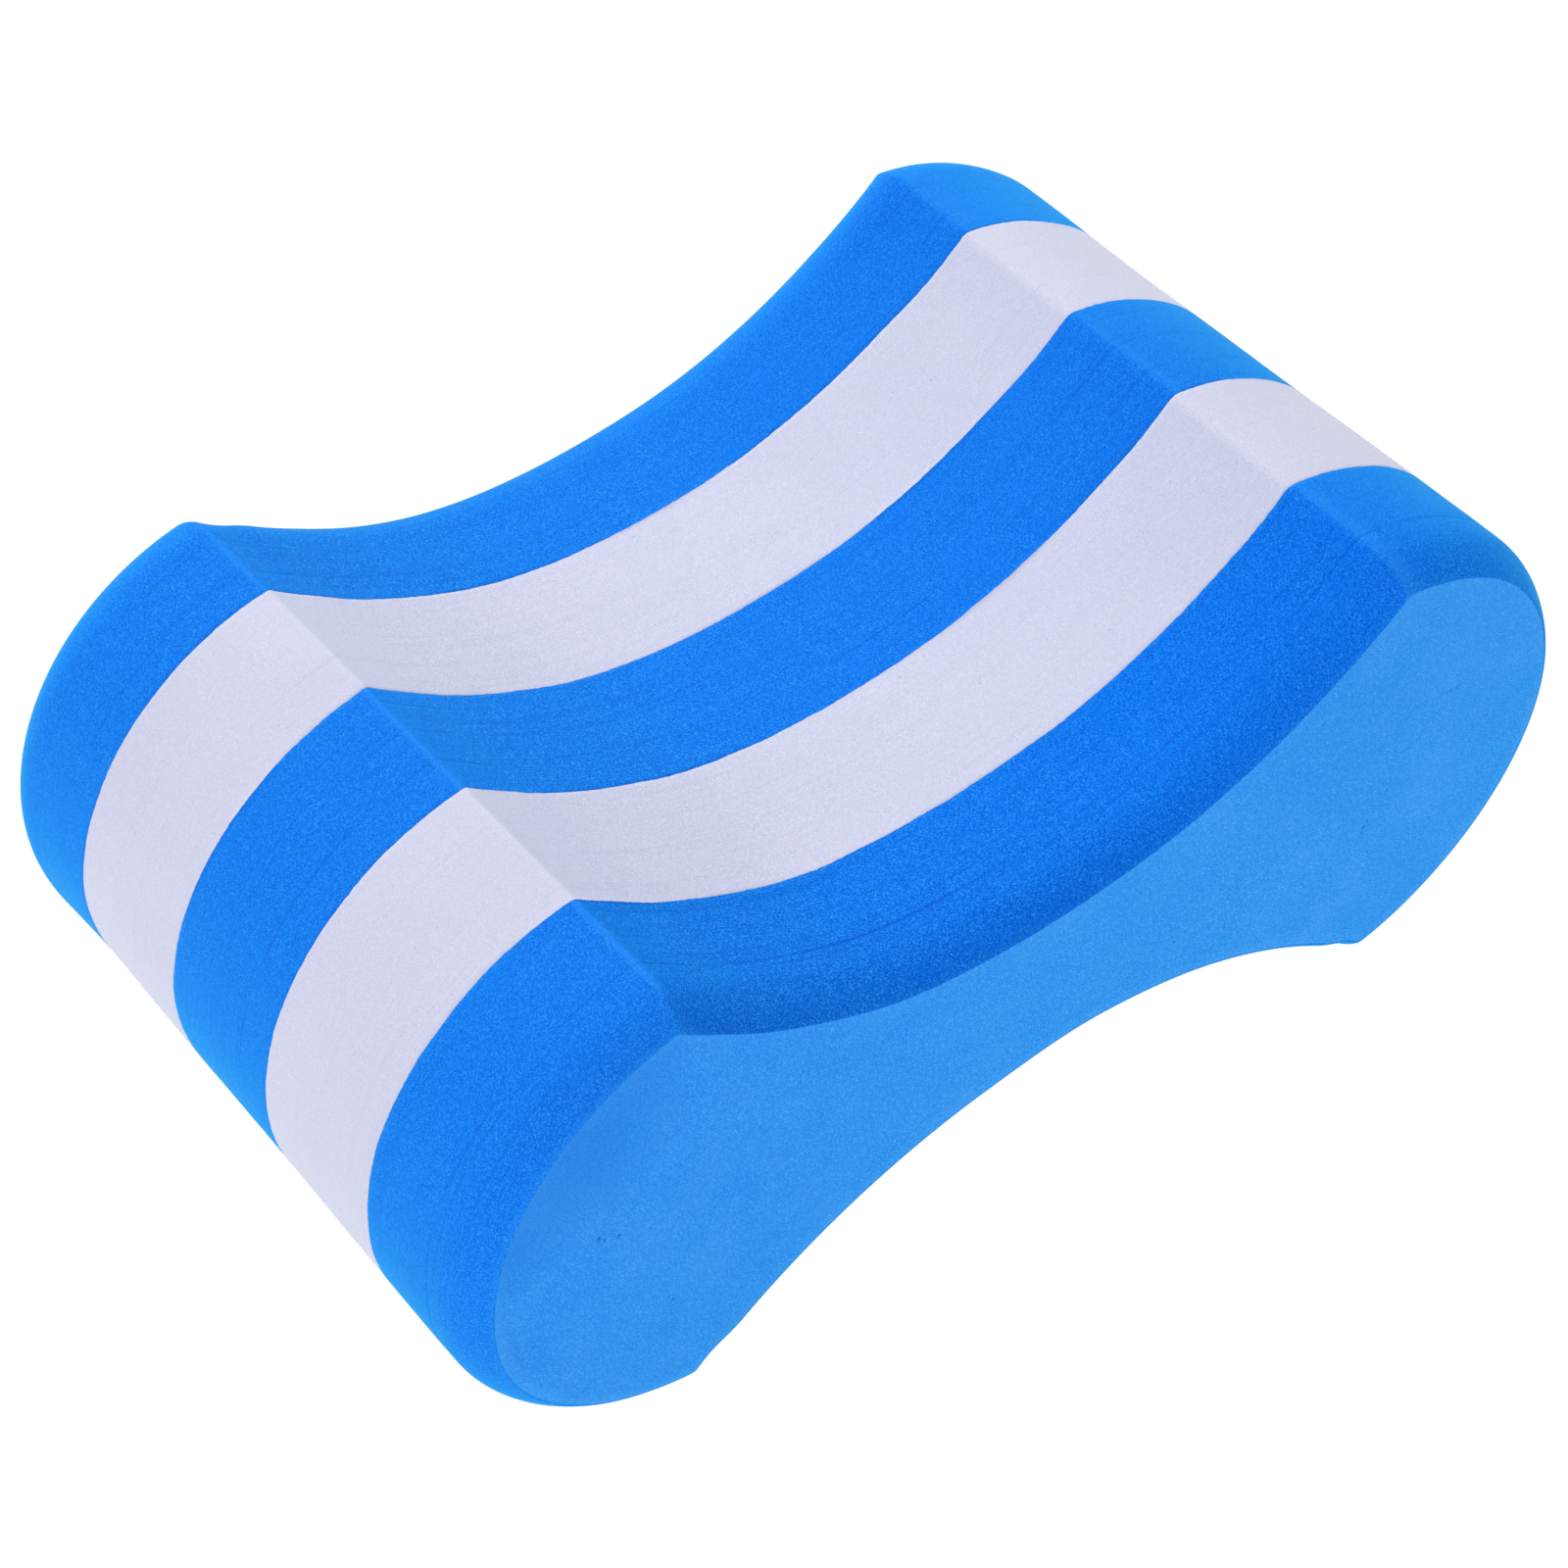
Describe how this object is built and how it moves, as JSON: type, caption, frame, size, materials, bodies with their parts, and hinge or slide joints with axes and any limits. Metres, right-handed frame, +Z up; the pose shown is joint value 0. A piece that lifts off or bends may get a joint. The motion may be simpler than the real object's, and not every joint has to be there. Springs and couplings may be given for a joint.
{
  "type": "pull buoy",
  "caption": "Swimmer's foam pull buoy: bonded blue and white sheets ground to an hourglass profile, with rounded lobes and a concave thigh saddle above and below.",
  "frame": {"origin": "under the middle of the float, on the surface that its two lower ridges stand on", "axes": "+X along the length from lobe to lobe, +Y across the bonded sheets towards the back blue sheet, +Z up out of the upper thigh saddle"},
  "size_m": [0.229, 0.138, 0.0949],
  "materials": {
    "blue_foam": "matte",
    "white_foam": "matte"
  },
  "bodies": {
    "root": {"front_blue_sheet": "blue_foam", "front_white_sheet": "white_foam", "middle_blue_sheet": "blue_foam", "back_white_sheet": "white_foam", "back_blue_sheet": "blue_foam"}
  },
  "joints": []
}
